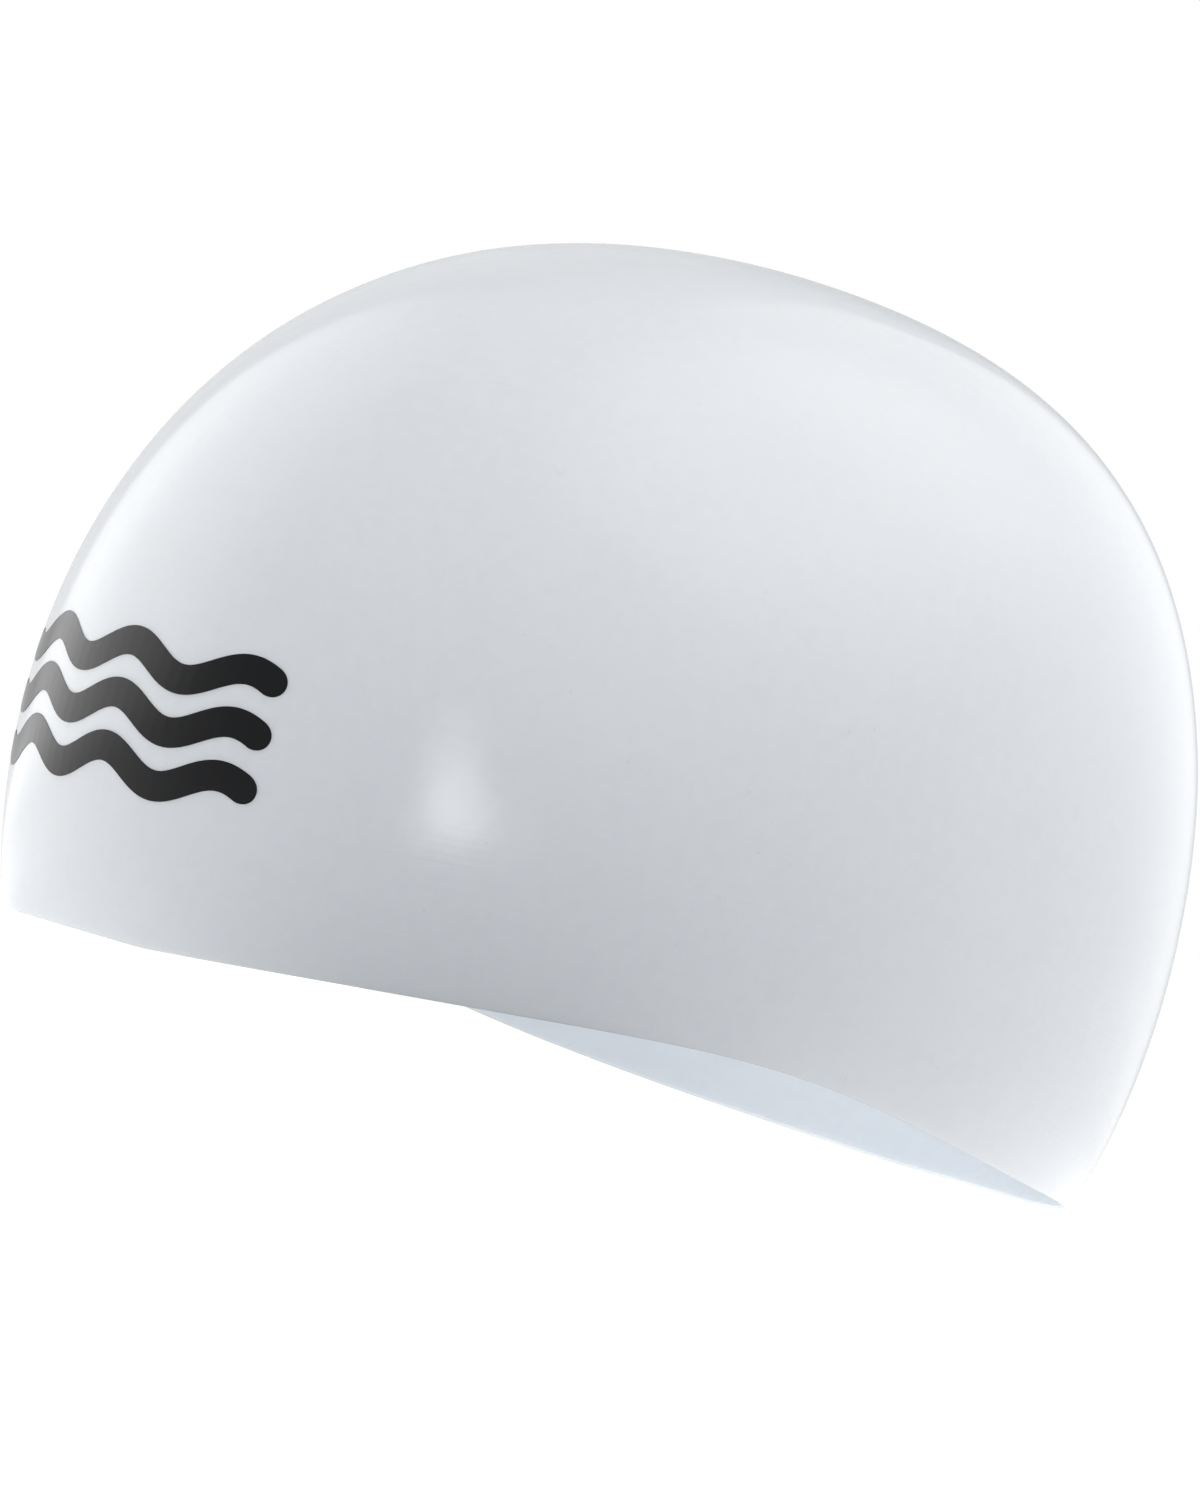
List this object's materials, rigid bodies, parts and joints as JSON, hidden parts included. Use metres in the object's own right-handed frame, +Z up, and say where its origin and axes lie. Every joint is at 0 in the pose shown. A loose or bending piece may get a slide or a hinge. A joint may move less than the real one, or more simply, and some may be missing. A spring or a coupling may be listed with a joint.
{
  "type": "swim cap",
  "caption": "Seamless moulded dome swim cap of pale grey-white silicone, egg-shaped in plan, with a smooth crown and a thin open rim that arches over the ears.",
  "frame": {"origin": "on the ground under the middle of the cap, as it stands on its rim", "axes": "+Z up through the crown, -Y towards the forehead, +X towards the wearer's left ear"},
  "size_m": [0.1542, 0.1944, 0.13],
  "materials": {
    "silicone": "satin, smooth moulded",
    "print": "thin flexible ink on the front"
  },
  "bodies": {
    "root": {"shell": "silicone"}
  },
  "joints": []
}
